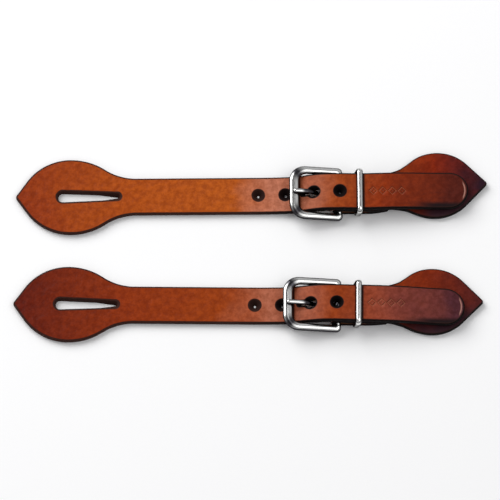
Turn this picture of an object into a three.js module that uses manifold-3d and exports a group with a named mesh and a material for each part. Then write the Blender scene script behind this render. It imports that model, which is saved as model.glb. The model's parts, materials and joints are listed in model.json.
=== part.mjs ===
// A pair of western spur straps, each one buckled and lying flat, one behind the other.
//
// Millimetres. +X runs along the straps from the long leaf to the short leaf, +Y from the front strap to
// the back strap, +Z up. Each strap is drawn about its own buckle bar: x = 0 is the bar's axis, y = 0 the
// middle of the strap and z = 0 the surface that it lies on. The pair is then moved so that the origin is
// the middle of its footprint.

import * as THREE from 'three';
import { mergeVertices } from 'three/addons/utils/BufferGeometryUtils.js';
import Module from 'manifold-3d';

const wasm = await Module();
wasm.setup();

const { PI, acos, atan2, hypot, sqrt, tan } = Math;
const radians = THREE.MathUtils.degToRad;

// ---------------------------------------------------------------- driving dimensions

const GAP = 0.3; // air between pieces that touch on the real strap

// Leather
const STRAP_WIDTH = 19.8;
const LEATHER = 3.4;
const FOLD_LEATHER = 1.8; // skived where it folds round the bar
const KEEPER_LEATHER = 2.7; // the short strap inside the keeper
const RIVETED_LEATHER = 3.2; // the short strap over the folded tail
const TAIL_EDGE = 0.9; // skived end of the folded tail
const NECK_WIDTH = STRAP_WIDTH / 2;

// The leaf ends: distances from the leaf's point, and the radii of its edge from point to neck
const LONG_LEAF = {
  halfWidth: 20.5, widestAt: 29, pointRadius: 1.4, noseRadius: 28.5, shoulderRadius: 33, neckRadius: 30,
};
const SHORT_LEAF = {
  halfWidth: 18, widestAt: 27, pointRadius: 1.2, noseRadius: 23, shoulderRadius: 24, neckRadius: 26,
};
// Teardrop buttonholes: where the wide and the narrow round ends are centred, from the leaf's point
const LONG_SLOT = { wideAt: 24.8, wideRadius: 3.1, narrowAt: 53.8, narrowRadius: 1.9 };
const SHORT_SLOT = { wideAt: 20.3, wideRadius: 3.1, narrowAt: 37.2, narrowRadius: 2.3 };

// Along the strap, from the bar
const LONG_POINT_X = -171.5;
const BILLET_TIP_LENGTH = 10.5;
const HOLE_RADIUS = 3.2;
const HOLE_PITCH = 14.4;
const PUNCHED_X = -14.1; // the tongue's hole as it was punched
const TONGUE_HOLE_X = PUNCHED_X + 1; // and where the tongue has drawn it to
const HOLE_X = [PUNCHED_X - 2 * HOLE_PITCH, PUNCHED_X - HOLE_PITCH, TONGUE_HOLE_X, PUNCHED_X + HOLE_PITCH];
const STRETCH_X = [-20, -9.9]; // the slit that the tongue has worn beside its hole
const STRETCH_RADIUS = 1.55;
const SWING_X = 15; // right of here the layers lie out of line
const SHIFTED_X = 45; // and from here the short strap's leaf lies straight again

// Buckle
const BAR_RADIUS = 1.5;
const BAR_Z = FOLD_LEATHER + GAP + BAR_RADIUS;
const FRAME = { heel: 1.7, halfWidth: 14.6, rung: 5.3, arm: 4, corner: 8.5, heelCorner: 2.4 };
const FRAME_THICKNESS = 2 * BAR_RADIUS;
const FRAME_ROUNDING = 1.1;
const RUNG_OVERHANG = 2.5; // from the rung's middle to its outer edge
const HEEL_OPENING = NECK_WIDTH + 0.4; // half the length of bar that is free between the arms' hooks
const TONGUE_EYE = { inner: 1.75, outer: 3.3, width: 4.2 };
const TONGUE_SLOT = { reach: 6, radius: TONGUE_EYE.width / 2 + 0.5 }; // cut in the fold for the tongue
const TONGUE_HALF_WIDTH = 1.15;
const TONGUE_HALF_HEIGHT = 0.95;
const TONGUE_TIP_INSET = 0.2; // from the rung's middle to the centre of the tongue's round tip

// Keeper
const KEEPER = {
  x: 10.2, z: 7.3, halfWidth: 12.5, halfHeight: 5.3, wall: 1.2, band: 3, corner: 2.8, bevel: 0.35,
};
const KEEPER_LEAN = radians(11);

// Fastening of the fold
const TAIL_END_X = 27;
const RIVET_X = 21.6;
const RIVET_Y = 4.6;
const RIVET = { headRadius: 3.3, headHeight: 1.1, shankRadius: 1.5, seatGap: 0.15 };
const BURR = { radius: 3.2, thickness: 0.7, bottom: 0.15, borePlay: 0.1 };

// Heights of the two layers
const SHORT_Z = { keeper: 4.0, tail: 2.1 }; // underside of the short strap over the keeper's leg and the tail
const BILLET_Z = 7.0; // underside of the billet in the keeper
const CREST_Z = BAR_Z + BAR_RADIUS + FOLD_LEATHER + 2 * GAP; // underside of the long strap over the bar
const BILLET_TIP_Z = LEATHER + 1.3 * GAP;

// Lines across the leather where it flexes
const LEAF_FLEX_X = LONG_POINT_X + 65;
const BILLET_FLEX = { x: 17.6, z: BILLET_Z + LEATHER / 2 };
const SHORT_FLEX_X = 36;
const KNUCKLE_RADIUS = LEATHER / 2;

// A space well beyond the part on each side, for the solids that cut it
const BEYOND = { below: -2, above: 20, side: 30, along: 300 };

const ARC_STEPS = 5;
const CURVE_STEPS = 6;
const ROUND_STEPS = 16;

// The two straps of the pair are cut and lie a little differently. Angles are in degrees. rungX is the
// rung's middle along the frame, and rungZ the height of the long strap's underside below it. leafShift and
// leafSwing put the short leaf out of line, and holeShift the punched holes.
const STRAPS = [
  {
    name: 'back', x: 0, y: 61.5, lay: 0.42, frameTilt: 13, rungX: -24.6, rungZ: 1.3, holeShift: 0,
    billetTipX: 68.4, billetSwing: 1.2, shortPointX: 78.4, leafShift: 4.8, leafSwing: 2,
  },
  {
    name: 'front', x: -0.9, y: 0, lay: -0.47, frameTilt: 9.8, rungX: -27, rungZ: 1, holeShift: -1,
    billetTipX: 66.9, billetSwing: -1.3, shortPointX: 76.7, leafShift: 2.9, leafSwing: 0.4,
  },
];

// ---------------------------------------------------------------- materials

function material(color, roughness, metalness) {
  return new THREE.MeshStandardMaterial({ color, roughness, metalness });
}
const russetLeather = material(0xa8522a, 0.5, 0);
const darkLeather = material(0x6b2a1c, 0.5, 0);
const nickel = material(0xd6d6d2, 0.2, 1);
const copper = material(0xb4714a, 0.35, 1);

// ---------------------------------------------------------------- solids

function solid(geometry) {
  const bare = geometry.clone();
  bare.deleteAttribute('normal');
  bare.deleteAttribute('uv');
  const merged = mergeVertices(bare, 1e-4);
  const mesh = new wasm.Mesh({
    numProp: 3,
    vertProperties: merged.attributes.position.array,
    triVerts: merged.index.array,
  });
  return new wasm.Manifold(mesh);
}

function piece(name, body, surface) {
  const cut = body.getMesh();
  const geometry = new THREE.BufferGeometry();
  geometry.setAttribute('position', new THREE.BufferAttribute(cut.vertProperties, 3));
  geometry.setIndex(new THREE.BufferAttribute(cut.triVerts, 1));
  geometry.computeVertexNormals();
  const mesh = new THREE.Mesh(geometry, surface);
  mesh.name = name;
  return mesh;
}

// A shape drawn in plan, as a solid from z = bottom to z = top.
function upright(shape, bottom = BEYOND.below, top = BEYOND.above) {
  const options = { depth: top - bottom, bevelEnabled: false, curveSegments: ROUND_STEPS };
  return solid(new THREE.ExtrudeGeometry(shape, options).translate(0, 0, bottom));
}

// A side view drawn in x and z, as a solid that runs across the strap.
function across(shape, halfWidth = BEYOND.side) {
  const options = { depth: 2 * halfWidth, bevelEnabled: false, curveSegments: CURVE_STEPS };
  return solid(new THREE.ExtrudeGeometry(shape, options).rotateX(PI / 2).translate(0, halfWidth, 0));
}

function crossCylinder(x, z, radius, halfLength = BEYOND.side) {
  const cylinder = new THREE.CylinderGeometry(radius, radius, 2 * halfLength, ROUND_STEPS);
  return solid(cylinder.translate(x, 0, z));
}

function block(lowX, highX, halfWidth, lowZ, highZ) {
  const box = new THREE.BoxGeometry(highX - lowX, 2 * halfWidth, highZ - lowZ);
  return solid(box.translate((lowX + highX) / 2, 0, (lowZ + highZ) / 2));
}

function post(x, y, radius, bottom = BEYOND.below, top = BEYOND.above) {
  const cylinder = new THREE.CylinderGeometry(radius, radius, top - bottom, ROUND_STEPS);
  return solid(cylinder.rotateX(PI / 2).translate(x, y, (bottom + top) / 2));
}

// ---------------------------------------------------------------- plan outlines

// The left edge of a leaf that points to -x from x = 0, from its point to where it meets the strap's edge.
function drawLeafEdge(path, leaf) {
  const { halfWidth, widestAt, pointRadius, noseRadius, shoulderRadius, neckRadius } = leaf;
  const noseY = halfWidth - noseRadius;
  const shoulderY = halfWidth - shoulderRadius;
  const neckY = NECK_WIDTH + neckRadius;
  const reach = hypot(widestAt - pointRadius, noseY);
  const flank = atan2(noseY, widestAt - pointRadius) + acos((pointRadius - noseRadius) / reach);
  const rise = neckY - shoulderY;
  const neckX = widestAt + sqrt((shoulderRadius + neckRadius) ** 2 - rise ** 2);
  const turn = atan2(rise, neckX - widestAt);
  path.absarc(pointRadius, 0, pointRadius, PI, flank, true);
  path.absarc(widestAt, noseY, noseRadius, flank, PI / 2, true);
  path.absarc(widestAt, shoulderY, shoulderRadius, PI / 2, turn, true);
  path.absarc(neckX, neckY, neckRadius, turn + PI, 1.5 * PI, false);
}

// Closes an edge with its mirror image, and puts each point out of line.
function mirrored(edge, outOfLine) {
  const far = edge.filter((point, i) => i === 0 || point.distanceTo(edge[i - 1]) > 0.01);
  const near = far.filter((point) => point.y > 0.01).map((point) => new THREE.Vector2(point.x, -point.y));
  return new THREE.Shape([...far, ...near.reverse()].map(outOfLine));
}

// The billet swings to one side from SWING_X on.
function billetLine(strap) {
  return (point) => {
    const sideways = Math.max(point.x - SWING_X, 0) * tan(radians(strap.billetSwing));
    return new THREE.Vector2(point.x, point.y + sideways);
  };
}

// The short strap curves to one side between SWING_X and SHIFTED_X, and its leaf runs on at a small angle.
function shortLine(strap) {
  return (point) => {
    const curve = THREE.MathUtils.smoothstep(point.x, SWING_X, SHIFTED_X) * strap.leafShift;
    const beyond = Math.max(point.x - SHIFTED_X, 0) * tan(radians(strap.leafSwing));
    return new THREE.Vector2(point.x, point.y + curve + beyond);
  };
}

function longOutline(strap) {
  const leaf = new THREE.Path();
  drawLeafEdge(leaf, LONG_LEAF);
  const tip = new THREE.Path();
  tip.absellipse(strap.billetTipX - BILLET_TIP_LENGTH, 0, BILLET_TIP_LENGTH, NECK_WIDTH, PI / 2, 0, true);
  const leafEdge = leaf.getPoints(ARC_STEPS).map((point) => point.setX(point.x + LONG_POINT_X));
  const straight = new THREE.Vector2(SWING_X, NECK_WIDTH);
  return mirrored([...leafEdge, straight, ...tip.getPoints(ARC_STEPS)], billetLine(strap));
}

function shortOutline(strap) {
  const leaf = new THREE.Path();
  drawLeafEdge(leaf, SHORT_LEAF);
  const points = leaf.getPoints(ARC_STEPS);
  const leafEdge = points.map((point) => point.setX(strap.shortPointX - point.x)).reverse();
  const neckX = leafEdge[0].x;
  const straight = [-10, SWING_X, (SWING_X + neckX) / 2].map((x) => new THREE.Vector2(x, NECK_WIDTH));
  return mirrored([...straight, ...leafEdge], shortLine(strap));
}

// A teardrop buttonhole. way is +1 where the leaf points to -x and -1 where it points to +x.
function buttonhole(slot, pointX, way, outOfLine = (point) => point) {
  const { wideAt, wideRadius, narrowAt, narrowRadius } = slot;
  const flare = acos((wideRadius - narrowRadius) / (narrowAt - wideAt));
  const path = new THREE.Path();
  path.absarc(wideAt, 0, wideRadius, flare, 2 * PI - flare, false);
  path.absarc(narrowAt, 0, narrowRadius, -flare, flare, false);
  const points = path.getPoints(ARC_STEPS).map((point) => point.setX(pointX + way * point.x));
  return upright(new THREE.Shape(points.map(outOfLine)));
}

// A straight slit with round ends.
function slit(lowX, highX, radius) {
  const path = new THREE.Path();
  path.absarc(lowX + radius, 0, radius, PI / 2, 1.5 * PI, false);
  path.absarc(highX - radius, 0, radius, -PI / 2, PI / 2, false);
  return upright(new THREE.Shape(path.getPoints(ARC_STEPS)));
}

// ---------------------------------------------------------------- side views

// The long strap lies flat, rises under the buckle's rung and over its bar, runs level through the keeper
// and comes down on the short leaf.
function longSide({ rungX, rungZ, billetTipX }) {
  const underside = new THREE.Path();
  underside.moveTo(LONG_POINT_X - 5, 0);
  underside.lineTo(-52, 0);
  underside.bezierCurveTo(-42, 0, rungX - 8, 0, rungX, rungZ);
  underside.bezierCurveTo(rungX + 6, rungZ + 0.9, -12, CREST_Z, -5, CREST_Z);
  underside.lineTo(1, CREST_Z);
  underside.bezierCurveTo(4, CREST_Z, 5, BILLET_Z, 9, BILLET_Z);
  underside.lineTo(25, BILLET_Z);
  underside.bezierCurveTo(38, BILLET_Z, 48, BILLET_TIP_Z, 62, BILLET_TIP_Z);
  underside.lineTo(billetTipX + 5, BILLET_TIP_Z);
  const low = underside.getPoints(CURVE_STEPS);
  const high = low.map((point, i) => {
    const along = low[Math.min(i + 1, low.length - 1)].clone().sub(low[Math.max(i - 1, 0)]).normalize();
    return new THREE.Vector2(point.x - along.y * LEATHER, point.y + along.x * LEATHER);
  });
  return new THREE.Shape([...low, ...high.reverse()]);
}

// The short strap comes up from its leaf, over the keeper's lower leg and round the bar, and its skived
// tail runs back underneath.
function shortSide(shortPointX) {
  const crest = BAR_Z + BAR_RADIUS + GAP + FOLD_LEATHER;
  const innerRadius = BAR_RADIUS + GAP;
  const keeperTop = SHORT_Z.keeper + KEEPER_LEATHER;
  const tailTop = SHORT_Z.tail + RIVETED_LEATHER;
  const leafEnd = shortPointX + 5;
  const side = new THREE.Shape();
  side.moveTo(TAIL_END_X, 0);
  side.lineTo(0, 0);
  side.absarc(0, BAR_Z, innerRadius + FOLD_LEATHER, 1.5 * PI, 0.5 * PI, true);
  side.bezierCurveTo(3, crest, 4, keeperTop, 7, keeperTop);
  side.lineTo(14, keeperTop);
  side.bezierCurveTo(16, keeperTop, 16.5, tailTop, 18.5, tailTop);
  side.lineTo(25, tailTop);
  side.bezierCurveTo(29, tailTop, 30.5, LEATHER, 34.5, LEATHER);
  side.lineTo(leafEnd, LEATHER);
  side.lineTo(leafEnd, 0);
  side.lineTo(34, 0);
  side.bezierCurveTo(31, 0, 29, SHORT_Z.tail, 25, SHORT_Z.tail);
  side.lineTo(18.5, SHORT_Z.tail);
  side.bezierCurveTo(16.5, SHORT_Z.tail, 16, SHORT_Z.keeper, 14, SHORT_Z.keeper);
  side.lineTo(6.5, SHORT_Z.keeper);
  side.bezierCurveTo(4, SHORT_Z.keeper, 3, BAR_Z + innerRadius, 0, BAR_Z + innerRadius);
  side.absarc(0, BAR_Z, innerRadius, 0.5 * PI, 1.5 * PI, false);
  side.lineTo(18, FOLD_LEATHER);
  side.lineTo(TAIL_END_X, TAIL_EDGE);
  return side;
}

// ---------------------------------------------------------------- leather pieces

// Cuts leather along a flex line: [what is left of the line, what is right of it]. The side that keeps the
// line ends in a round knuckle, and the other side is hollowed to turn round it.
function flexed(leather, x, z, knuckleOnLeft) {
  const knuckle = crossCylinder(x, z, KNUCKLE_RADIUS);
  const socket = crossCylinder(x, z, KNUCKLE_RADIUS + GAP);
  const leftSpace = block(x - BEYOND.along, x, BEYOND.side, BEYOND.below, BEYOND.above);
  const rightSpace = block(x, x + BEYOND.along, BEYOND.side, BEYOND.below, BEYOND.above);
  if (knuckleOnLeft) {
    const held = leather.intersect(leftSpace.add(knuckle));
    return [held, leather.intersect(rightSpace).subtract(socket)];
  }
  const held = leather.intersect(rightSpace.add(knuckle));
  return [leather.intersect(leftSpace).subtract(socket), held];
}

function longLeather(strap) {
  const { holeShift } = strap;
  let leather = across(longSide(strap)).intersect(upright(longOutline(strap)));
  leather = leather.subtract(buttonhole(LONG_SLOT, LONG_POINT_X, 1));
  for (const x of HOLE_X) {
    leather = leather.subtract(post(x + holeShift, 0, HOLE_RADIUS));
  }
  leather = leather.subtract(slit(STRETCH_X[0] + holeShift, STRETCH_X[1] + holeShift, STRETCH_RADIUS));
  const [leaf, rest] = flexed(leather, LEAF_FLEX_X, LEATHER / 2, false);
  const [body, billet] = flexed(rest, BILLET_FLEX.x, BILLET_FLEX.z, true);
  return { leaf, body, billet };
}

function shortLeather(strap) {
  const { shortPointX } = strap;
  let leather = across(shortSide(shortPointX)).intersect(upright(shortOutline(strap)));
  leather = leather.subtract(buttonhole(SHORT_SLOT, shortPointX, -1, shortLine(strap)));
  leather = leather.subtract(slit(-TONGUE_SLOT.reach, TONGUE_SLOT.reach, TONGUE_SLOT.radius));
  const burrTop = BURR.bottom + BURR.thickness;
  for (const y of [-RIVET_Y, RIVET_Y]) {
    leather = leather.subtract(post(RIVET_X, y, RIVET.shankRadius + GAP));
    leather = leather.subtract(post(RIVET_X, y, BURR.radius + GAP, BEYOND.below, burrTop + GAP));
  }
  const [body, leaf] = flexed(leather, SHORT_FLEX_X, LEATHER / 2, true);
  return { body, leaf };
}

// ---------------------------------------------------------------- metal pieces

function roundedRectangle(target, lowX, highX, halfHeight, lowCorner, highCorner) {
  target.absarc(lowX + lowCorner, -halfHeight + lowCorner, lowCorner, PI, 1.5 * PI, false);
  target.absarc(highX - highCorner, -halfHeight + highCorner, highCorner, 1.5 * PI, 2 * PI, false);
  target.absarc(highX - highCorner, halfHeight - highCorner, highCorner, 0, PI / 2, false);
  target.absarc(lowX + lowCorner, halfHeight - lowCorner, lowCorner, PI / 2, PI, false);
  return target;
}

// The frame lies level here with the bar's axis at the origin.
function buckleFrame(strap) {
  const { heel, halfWidth, rung, arm, corner, heelCorner } = FRAME;
  const front = strap.rungX - RUNG_OVERHANG;
  const r = FRAME_ROUNDING;
  const outline = roundedRectangle(
    new THREE.Shape(), front + r, heel - r, halfWidth - r, corner - r, heelCorner - r);
  const opening = roundedRectangle(
    new THREE.Path(), front + rung - r, -BAR_RADIUS + r, halfWidth - arm + r, corner - arm + r, heelCorner);
  outline.holes.push(opening);
  const depth = FRAME_THICKNESS - 2 * r;
  const options = { depth, bevelSize: r, bevelThickness: r, bevelSegments: 2, curveSegments: 3 };
  const plate = solid(new THREE.ExtrudeGeometry(outline, options).translate(0, 0, -depth / 2));
  const heelSpace = block(-2 * BAR_RADIUS, heel + GAP, HEEL_OPENING, -FRAME_THICKNESS, FRAME_THICKNESS);
  return plate.subtract(heelSpace).add(crossCylinder(0, 0, BAR_RADIUS, HEEL_OPENING + BAR_RADIUS));
}

// The tongue's eye turns on the bar. Its shank dips under the strap, comes up through the hole and lies
// over the rung.
function buckleTongue({ rungX, holeShift }) {
  const ring = new THREE.Shape().absarc(0, 0, TONGUE_EYE.outer, 0, 2 * PI, false);
  ring.holes.push(new THREE.Path().absarc(0, 0, TONGUE_EYE.inner, 0, 2 * PI, false));
  const eye = across(ring, TONGUE_EYE.width / 2);
  const overRung = FRAME_THICKNESS / 2 + GAP + TONGUE_HALF_HEIGHT;
  const tipX = rungX - TONGUE_TIP_INSET;
  const route = new THREE.CatmullRomCurve3([
    new THREE.Vector3(-2.2, 0, -1),
    new THREE.Vector3(-8, 0, -1.2),
    new THREE.Vector3(-11.2 + holeShift, 0, -0.6),
    new THREE.Vector3(-14 + holeShift, 0, 1.2),
    new THREE.Vector3(-17.6 + holeShift, 0, overRung - 0.1),
    new THREE.Vector3((rungX + tipX - 16.6) / 3, 0, overRung + 0.05),
    new THREE.Vector3(tipX, 0, overRung),
  ]);
  const section = new THREE.Shape().absellipse(0, 0, TONGUE_HALF_WIDTH, TONGUE_HALF_HEIGHT, 0, 2 * PI, false);
  const options = { steps: 18, curveSegments: 4, extrudePath: route };
  const shank = solid(new THREE.ExtrudeGeometry(section, options));
  const end = new THREE.SphereGeometry(1, 8, 6).scale(1, TONGUE_HALF_WIDTH, TONGUE_HALF_HEIGHT);
  return eye.add(shank).add(solid(end.translate(tipX, 0, overRung)));
}

// The keeper stands upright here, with its middle at the origin and its band along x.
function keeper() {
  const { halfWidth, halfHeight, wall, band, corner, bevel } = KEEPER;
  const outline = roundedRectangle(
    new THREE.Shape(), -halfWidth + bevel, halfWidth - bevel, halfHeight - bevel, corner, corner);
  const inside = roundedRectangle(
    new THREE.Path(), -halfWidth + wall - bevel, halfWidth - wall + bevel, halfHeight - wall + bevel,
    corner - wall, corner - wall);
  outline.holes.push(inside);
  const depth = band - 2 * bevel;
  const options = { depth, bevelSize: bevel, bevelThickness: bevel, bevelSegments: 1, curveSegments: 3 };
  const ring = new THREE.ExtrudeGeometry(outline, options).translate(0, 0, -depth / 2);
  return solid(ring.rotateX(PI / 2).rotateZ(PI / 2));
}

function turned(points) {
  const profile = points.map(([radius, height]) => new THREE.Vector2(radius, height));
  return solid(new THREE.LatheGeometry(profile, ROUND_STEPS).rotateX(PI / 2));
}

// A rivet with its domed head up, and its shank down to the burr. z = 0 is the surface below.
function rivet() {
  const { headRadius, headHeight, shankRadius, seatGap } = RIVET;
  const seat = SHORT_Z.tail + RIVETED_LEATHER + seatGap;
  return turned([
    [0, BURR.bottom],
    [shankRadius, BURR.bottom],
    [shankRadius, seat],
    [headRadius, seat],
    [headRadius, seat + 0.3 * headHeight],
    [0.6 * headRadius, seat + 0.85 * headHeight],
    [0, seat + headHeight],
  ]);
}

function burr() {
  const { radius, thickness, bottom, borePlay } = BURR;
  const bore = RIVET.shankRadius + borePlay;
  return turned([
    [bore, bottom],
    [radius, bottom],
    [radius, bottom + 0.7 * thickness],
    [bore + 0.4, bottom + thickness],
    [bore, bottom + thickness],
    [bore, bottom],
  ]);
}

// ---------------------------------------------------------------- assembly

function placed(object, x, y, z, leanAboutY = 0) {
  object.position.set(x, y, z);
  object.rotation.y = leanAboutY;
  return object;
}

function buckle(strap) {
  const group = new THREE.Group();
  group.add(piece(`${strap.name}_buckle_frame`, buckleFrame(strap), nickel));
  group.add(piece(`${strap.name}_buckle_tongue`, buckleTongue(strap), nickel));
  return placed(group, 0, 0, BAR_Z, radians(strap.frameTilt));
}

function spurStrap(strap) {
  const { name } = strap;
  const long = longLeather(strap);
  const short = shortLeather(strap);
  const group = new THREE.Group();
  group.add(piece(`${name}_long_leaf`, long.leaf, russetLeather));
  group.add(piece(`${name}_long_strap`, long.body, russetLeather));
  group.add(piece(`${name}_billet_end`, long.billet, darkLeather));
  group.add(piece(`${name}_short_strap`, short.body, russetLeather));
  group.add(piece(`${name}_short_leaf`, short.leaf, darkLeather));
  group.add(buckle(strap));
  group.add(placed(piece(`${name}_keeper`, keeper(), nickel), KEEPER.x, 0, KEEPER.z, KEEPER_LEAN));
  for (const [side, y] of [['left', RIVET_Y], ['right', -RIVET_Y]]) {
    group.add(placed(piece(`${name}_${side}_rivet`, rivet(), copper), RIVET_X, y, 0));
    group.add(placed(piece(`${name}_${side}_burr`, burr(), copper), RIVET_X, y, 0));
  }
  group.position.set(strap.x, strap.y, 0);
  group.rotation.z = radians(strap.lay);
  return group;
}

const group = new THREE.Group();
for (const strap of STRAPS) {
  group.add(spurStrap(strap));
}
group.updateMatrixWorld(true);
const footprint = new THREE.Box3().setFromObject(group, true);
const middle = footprint.getCenter(new THREE.Vector3());
group.position.set(-middle.x, -middle.y, -footprint.min.z);

export default group;
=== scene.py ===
"""The looks of a pair of russet leather western spur straps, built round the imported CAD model.

Each strap is drawn in millimetres about its own buckle bar: x along the strap, y across it, z up from the
surface. strap_place() gives the matrix from that drawing to the frame, in metres, from the strap's joints.
"""

import json
import math

import bmesh
import bpy
import numpy as np
from mathutils import Matrix, Vector
from mathutils.geometry import delaunay_2d_cdt


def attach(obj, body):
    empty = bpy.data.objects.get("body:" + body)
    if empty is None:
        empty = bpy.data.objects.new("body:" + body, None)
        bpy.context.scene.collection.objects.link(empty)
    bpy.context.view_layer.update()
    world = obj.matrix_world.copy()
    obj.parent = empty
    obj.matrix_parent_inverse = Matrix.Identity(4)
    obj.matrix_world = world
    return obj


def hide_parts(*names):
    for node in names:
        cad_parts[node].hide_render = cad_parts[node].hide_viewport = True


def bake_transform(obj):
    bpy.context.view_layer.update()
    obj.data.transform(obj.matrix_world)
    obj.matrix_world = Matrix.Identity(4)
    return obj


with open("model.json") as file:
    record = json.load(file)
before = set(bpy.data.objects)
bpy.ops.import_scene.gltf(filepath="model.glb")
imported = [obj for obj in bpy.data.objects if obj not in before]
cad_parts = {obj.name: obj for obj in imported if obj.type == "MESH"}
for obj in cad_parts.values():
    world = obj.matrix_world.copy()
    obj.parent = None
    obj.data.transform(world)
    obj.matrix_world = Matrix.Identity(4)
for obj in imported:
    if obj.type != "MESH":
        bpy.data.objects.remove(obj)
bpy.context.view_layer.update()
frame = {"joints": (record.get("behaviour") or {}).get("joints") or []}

MM = 0.001
QUARTER = math.pi / 2
JOINTS = {joint["name"]: joint for joint in frame["joints"]}

# ------------------------------------------------------------------ dimensions, in millimetres

GAP = 0.3  # air between pieces that touch on the real strap
LEATHER = 3.4
FOLD_LEATHER = 1.8  # skived where it folds round the bar
KEEPER_LEATHER = 2.7  # the short strap inside the keeper
RIVETED_LEATHER = 3.2  # the short strap over the folded tail
TAIL_EDGE = 0.9  # skived end of the folded tail
HALF_WIDTH = 9.9

# The leaves: distances from the leaf's point, and the radii of its edge from point to neck
LONG_LEAF = dict(half_width=20.5, widest_at=29.0, point=1.4, nose=28.5, shoulder=33.0, neck=30.0)
SHORT_LEAF = dict(half_width=18.0, widest_at=27.0, point=1.2, nose=23.0, shoulder=24.0, neck=26.0)
LONG_SLOT = dict(wide_at=24.8, wide=3.1, narrow_at=53.8, narrow=1.9)
SHORT_SLOT = dict(wide_at=20.3, wide=3.1, narrow_at=37.2, narrow=2.3)

# Along the strap, from the bar
LONG_POINT_X = -171.5
LEVEL_X = -52.0  # the long strap leaves the surface here
BILLET_TIP_LENGTH = 10.5
HOLE_RADIUS = 3.05
HOLE_X = (-42.9, -28.5, 0.3)
TONGUE_HOLE_X = -13.1
STRETCH_X = -20.0  # the end of the slit that the tongue has worn beside its hole
STRETCH_RADIUS = 1.55
SWING_X = 15.0  # right of here the layers lie out of line
SHIFTED_X = 45.0  # and from here the short strap's leaf lies straight again
SEAM_X = 10.2  # the long strap's two meshes meet here, inside the keeper

# How much smaller the openings are at the bottom than at the top, on each side
HOLE_NARROWING = 2.6
TONGUE_HOLE_NARROWING = 1.6  # at its sides only, clear of the tongue
STRETCH_NARROWING = 1.35  # where the tongue is above the leather
SLOT_NARROWING = 0.8
SLOT_END_NARROWING = 1.0  # more of it, at the slot's narrow end
BEND_FLARE = 0.55  # and how much wider the strap is at the bottom where it bends over the bar

# Buckle
BAR_RADIUS = 1.5
BAR_Z = FOLD_LEATHER + GAP + BAR_RADIUS
FRAME = dict(heel=1.7, half_width=14.6, rung=5.3, arm=4.0, corner=8.5, heel_corner=2.4, inner_heel_corner=0.9)
FRAME_HALF_THICKNESS = 1.5
RUNG_OVERHANG = 2.5  # from the rung's middle to its outer edge
RUNG_MARK = 3.6  # from the rung's middle to the dark band beside its inner edge on the leather: a rub mark with painted shadow
HEEL_OPENING = 10.3  # half the length of bar that is free between the arms' hooks
BAR_REACH = 1.5  # of the bar into each hook
# The tongue. It widens and thins over widening_length, from widening_at before the end of its eye.
TONGUE = dict(
    half_width=1.15, half_height=0.95, tip_inset=0.2, tip_rounding=1.6, eye_radius=2.52, eye_start=258,
    eye_turn=262, widening=0.85, thinning=0.22, widening_at=9 + 2.2 * math.pi, widening_length=6.0)

KEEPER = dict(x=10.2, z=7.3, half_width=12.5, half_height=5.3, wall=1.2, band=3.0, corner=2.8)
KEEPER_LEAN = math.radians(11)

# The folded tail and its fastening
TAIL_END_X = 27.0
TAIL_CORNER = 1.5  # cut off each corner of its end
TONGUE_SLIT = dict(reach=6, radius=2.6)  # in the fold: how far to the right of the bar, and half its width
RIVET = dict(x=21.6, y=4.6, shank=1.5, head=3.3, seat=5.45)
SEAT_RADIUS = 3.4  # of the hole in the folded tail that the burr sits in

# Heights of the undersides of the layers
KEEPER_Z = 4.0
TAIL_Z = 2.1
BILLET_Z = 7.0
CREST_Z = BAR_Z + BAR_RADIUS + FOLD_LEATHER + 2 * GAP
BILLET_TIP_Z = LEATHER + 1.3 * GAP

# The short strap's upper run: places where it is level, the height of its middle there, and its thickness
FOLD_RADIUS = BAR_RADIUS + GAP + FOLD_LEATHER / 2
SHORT_RUN = (
    (0.0, BAR_Z + FOLD_RADIUS, FOLD_LEATHER),
    (7.0, KEEPER_Z + KEEPER_LEATHER / 2, KEEPER_LEATHER),
    (14.0, KEEPER_Z + KEEPER_LEATHER / 2, KEEPER_LEATHER),
    (18.5, TAIL_Z + RIVETED_LEATHER / 2, RIVETED_LEATHER),
    (25.0, TAIL_Z + RIVETED_LEATHER / 2, RIVETED_LEATHER),
    (34.5, LEATHER / 2, LEATHER),
)

# The row of small diamonds tooled on the billet
STAMP = dict(start=15.5, count=4, pitch=5.0, size=2.0, line=0.7)
# The crease: distances from the middle of the billet's end, from where it starts to where it is deepest
CREASE = dict(radius=8.7, line=0.6, start=7.0, full=8.4)
TOOLING_DEPTH = 0.35

# Where each bend of the leather starts, on the side of the buckle, and where it ends
SHORT_FLEX = (29.0, 43.0)

# The two straps are cut and lie a little differently. Angles are in degrees. rung_x is the rung's middle
# along the frame, and rung_z the height of the long strap's underside below it. The tongue's shank is given a
# painted shade, all but the length from its tip that is listed last, which is left bright.
STRAPS = (
    dict(
        name="back", frame_tilt=13.0, rung_x=-24.6, rung_z=1.3, hole_shift=0.0,
        billet_tip=68.4, billet_swing=1.2, short_point=78.4, leaf_shift=4.8, leaf_swing=2.0,
        last_hole_narrowing=2.4, tongue_unshaded=4.5),
    dict(
        name="front", frame_tilt=9.8, rung_x=-27.0, rung_z=1.0, hole_shift=-1.0,
        billet_tip=66.9, billet_swing=-1.3, short_point=76.7, leaf_shift=2.9, leaf_swing=0.4,
        last_hole_narrowing=1.5, tongue_unshaded=8.4),
)

# How the leather's edges are rounded: radius, steps, and how far the burnish reaches beyond the rounding
LONG_EDGE = (0.7, 4, 0.45)
SHORT_EDGE = (0.65, 4, 0.25)
HOLE_EDGE = (0.3, 2, 0.6)
SLOT_EDGE = (0.3, 2, 0.9)
HIDDEN_EDGE = (0.3, 2)
SEAT_EDGE = (0.15, 2)

# Spacing of the points of a leather sheet
GRID = 1.3
TOOLED_GRID = 0.45  # in the billet's end
EDGE_STEP = 0.8
ROW_PITCH = 0.866  # of the spacing, between the rows of points inside
EDGE_CLEARANCE = 0.55  # of the spacing, kept free of them beside the edges


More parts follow.
